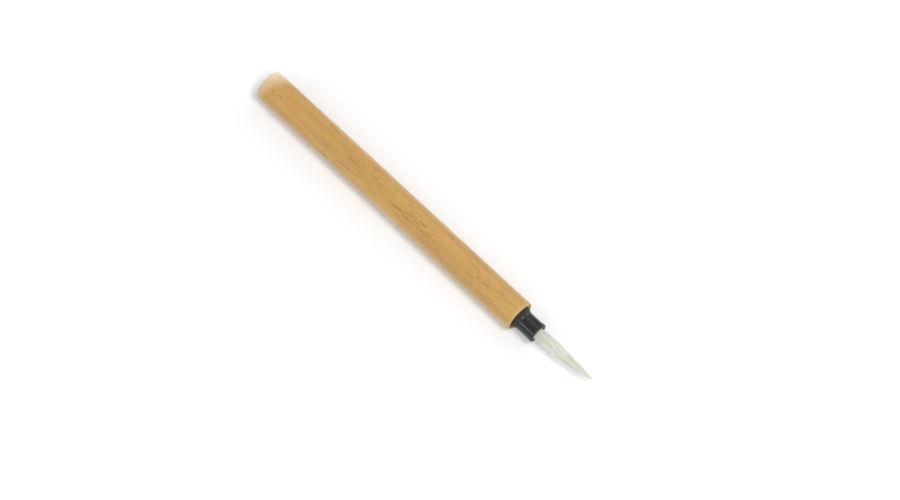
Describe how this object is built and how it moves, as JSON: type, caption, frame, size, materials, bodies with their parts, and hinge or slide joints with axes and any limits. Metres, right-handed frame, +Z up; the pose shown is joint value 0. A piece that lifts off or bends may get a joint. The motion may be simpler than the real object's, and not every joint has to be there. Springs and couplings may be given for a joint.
{
  "type": "fine detail brush",
  "caption": "Round fine detail brush with a straight wooden handle, a short black plastic ferrule and a pointed tuft of pale hair, lying on its side.",
  "frame": {"origin": "on the surface the brush lies on, under the middle of its length", "axes": "+X along the brush from the handle's rear end to the point of the tuft, +Z up from the surface, +Y to the left seen from behind the handle"},
  "size_m": [0.122, 0.009, 0.009],
  "materials": {
    "handle_wood": "golden tan wood with fine lengthwise grain and short dark flecks, thin matt lacquer, bare and paler at the rear end",
    "ferrule_plastic": "black moulded plastic, glossy, with faint lengthwise drag marks",
    "glue": "set amber wood glue, inside the handle's bore",
    "resin": "set amber resin, inside the ferrule",
    "thread": "undyed cotton thread",
    "hair": "fine off-white hair, slightly see-through, drawn to a point"
  },
  "bodies": {
    "root": {"handle": "handle_wood", "ferrule": "ferrule_plastic", "ferrule_glue": "glue", "root_resin": "resin", "root_thread": "thread", "hair_mantle": "hair", "hair_core": "hair"}
  },
  "joints": []
}
